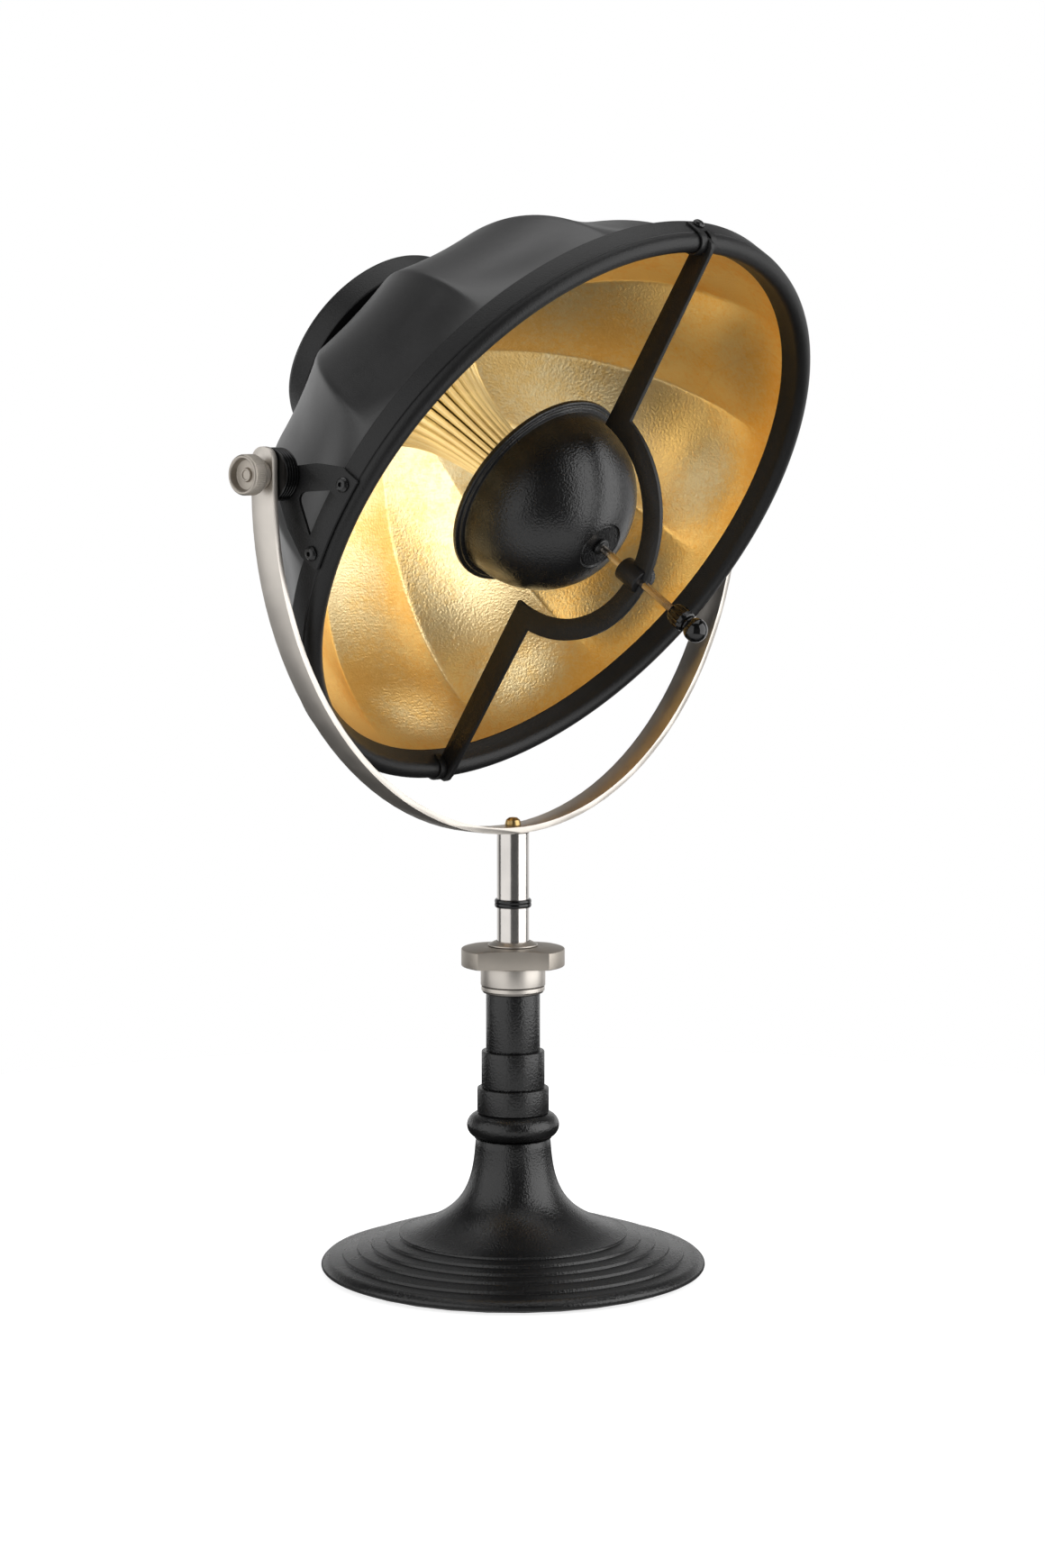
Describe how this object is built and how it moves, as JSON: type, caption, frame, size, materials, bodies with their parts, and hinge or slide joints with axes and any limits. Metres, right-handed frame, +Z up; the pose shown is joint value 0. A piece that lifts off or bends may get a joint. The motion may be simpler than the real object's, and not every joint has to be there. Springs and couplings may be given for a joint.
{
  "type": "table lamp",
  "caption": "Table lamp with a ribbed dish shade that tilts in a bent steel yoke on a swivelling, height-adjustable stem, with a cap before the bulb and a stepped round foot.",
  "frame": {"origin": "centre of the foot's underside", "axes": "+Z up along the column; +X to the lamp's left as it faces you, along the tilt axis; -Y is where the shade faces"},
  "size_m": [0.4792, 0.3215, 0.675],
  "materials": {
    "black_coat": "matte, finely textured",
    "satin_nickel": "satin, warm",
    "bright_nickel": "bright",
    "plain_steel": "plain machined",
    "cast_weight": "as cast",
    "gold_skin": "matte black outside, leaf gold inside",
    "champagne": "satin, pleated",
    "brass_screw": "bright",
    "black_rubber": "dull",
    "gloss_black": "gloss",
    "bulb_glass": "opal",
    "dark_felt": "felt"
  },
  "bodies": {
    "base": {"base_pad": "dark_felt", "base_cover": "black_coat", "base_weight": "cast_weight", "column_nut": "plain_steel", "column_tube": "plain_steel", "column_bead": "black_coat", "lower_sleeve": "black_coat", "middle_sleeve": "black_coat", "upper_sleeve": "black_coat", "lower_collar": "satin_nickel"},
    "swivel": {"swivel_collar": "satin_nickel", "guide_bush": "black_rubber", "cone_seat": "satin_nickel"},
    "clamp": {"clamp_nut": "satin_nickel"},
    "stem": {"stem_tube": "bright_nickel", "stem_end_bush": "black_rubber", "stem_stop_ring": "black_rubber", "stem_plug": "plain_steel", "yoke": "satin_nickel", "yoke_screw": "brass_screw"},
    "shade": {"left_bracket": "black_coat", "left_stud": "plain_steel", "left_friction_bush": "black_rubber", "right_bracket": "black_coat", "right_stud": "plain_steel", "right_friction_bush": "black_rubber", "right_upper_bracket_screw": "black_coat", "right_lower_bracket_screw": "black_coat", "left_upper_bracket_screw": "black_coat", "left_lower_bracket_screw": "black_coat", "shade_bowl": "gold_skin", "rim_ring": "black_coat", "throat_plate": "black_coat", "neck_ring": "black_coat", "rear_drum": "black_coat", "holder_nipple": "plain_steel", "rear_nut": "plain_steel", "cable_gland": "black_rubber", "lamp_holder": "plain_steel", "bulb_base": "bright_nickel", "bulb_glass": "bulb_glass", "horn": "champagne", "bridge": "black_coat", "top_clip": "black_coat", "bottom_clip": "black_coat", "top_clip_screw": "black_coat", "bottom_clip_screw": "black_coat"},
    "left_hand_knob": {"left_knob": "satin_nickel"},
    "right_hand_knob": {"right_knob": "satin_nickel"},
    "cap": {"cap_dome": "black_coat", "cap_hub": "black_coat", "cap_nut": "plain_steel", "cap_rod": "satin_nickel", "rod_grip": "black_coat", "rod_tip": "gloss_black"},
    "rod_set_knob": {"set_knob": "black_coat"}
  },
  "joints": [
    {"name": "swivel_turn", "type": "hinge", "parent": "base", "child": "swivel", "pos_m": [0, 0, 0.1925], "axis": [0, 0, 1], "range_deg": [-170, 170]},
    {"name": "clamp_turn", "type": "hinge", "parent": "swivel", "child": "clamp", "pos_m": [0, 0, 0.205], "axis": [0, 0, 1], "range_deg": [0, 180]},
    {"name": "height_slide", "type": "slide", "parent": "swivel", "child": "stem", "axis": [0, 0, 1], "range_m": [-0.02, 0.05]},
    {"name": "shade_tilt", "type": "hinge", "parent": "stem", "child": "shade", "pos_m": [0, 0, 0.51805], "axis": [1, 0, 0], "range_deg": [-120, 57]},
    {"name": "left_knob_turn", "type": "hinge", "parent": "shade", "child": "left_hand_knob", "pos_m": [-0.2315, 0, 0.51805], "axis": [-1, 0, 0], "range_deg": [0, 360]},
    {"name": "right_knob_turn", "type": "hinge", "parent": "shade", "child": "right_hand_knob", "pos_m": [0.2315, 0, 0.51805], "axis": [1, 0, 0], "range_deg": [0, 360]},
    {"name": "cap_slide", "type": "slide", "parent": "shade", "child": "cap", "axis": [0, -0.8406, -0.5417], "range_m": [-0.016, 0.016]},
    {"name": "set_knob_turn", "type": "hinge", "parent": "shade", "child": "rod_set_knob", "pos_m": [0.008, -0.10129, 0.45277], "axis": [1, 0, 0], "range_deg": [0, 360]}
  ]
}
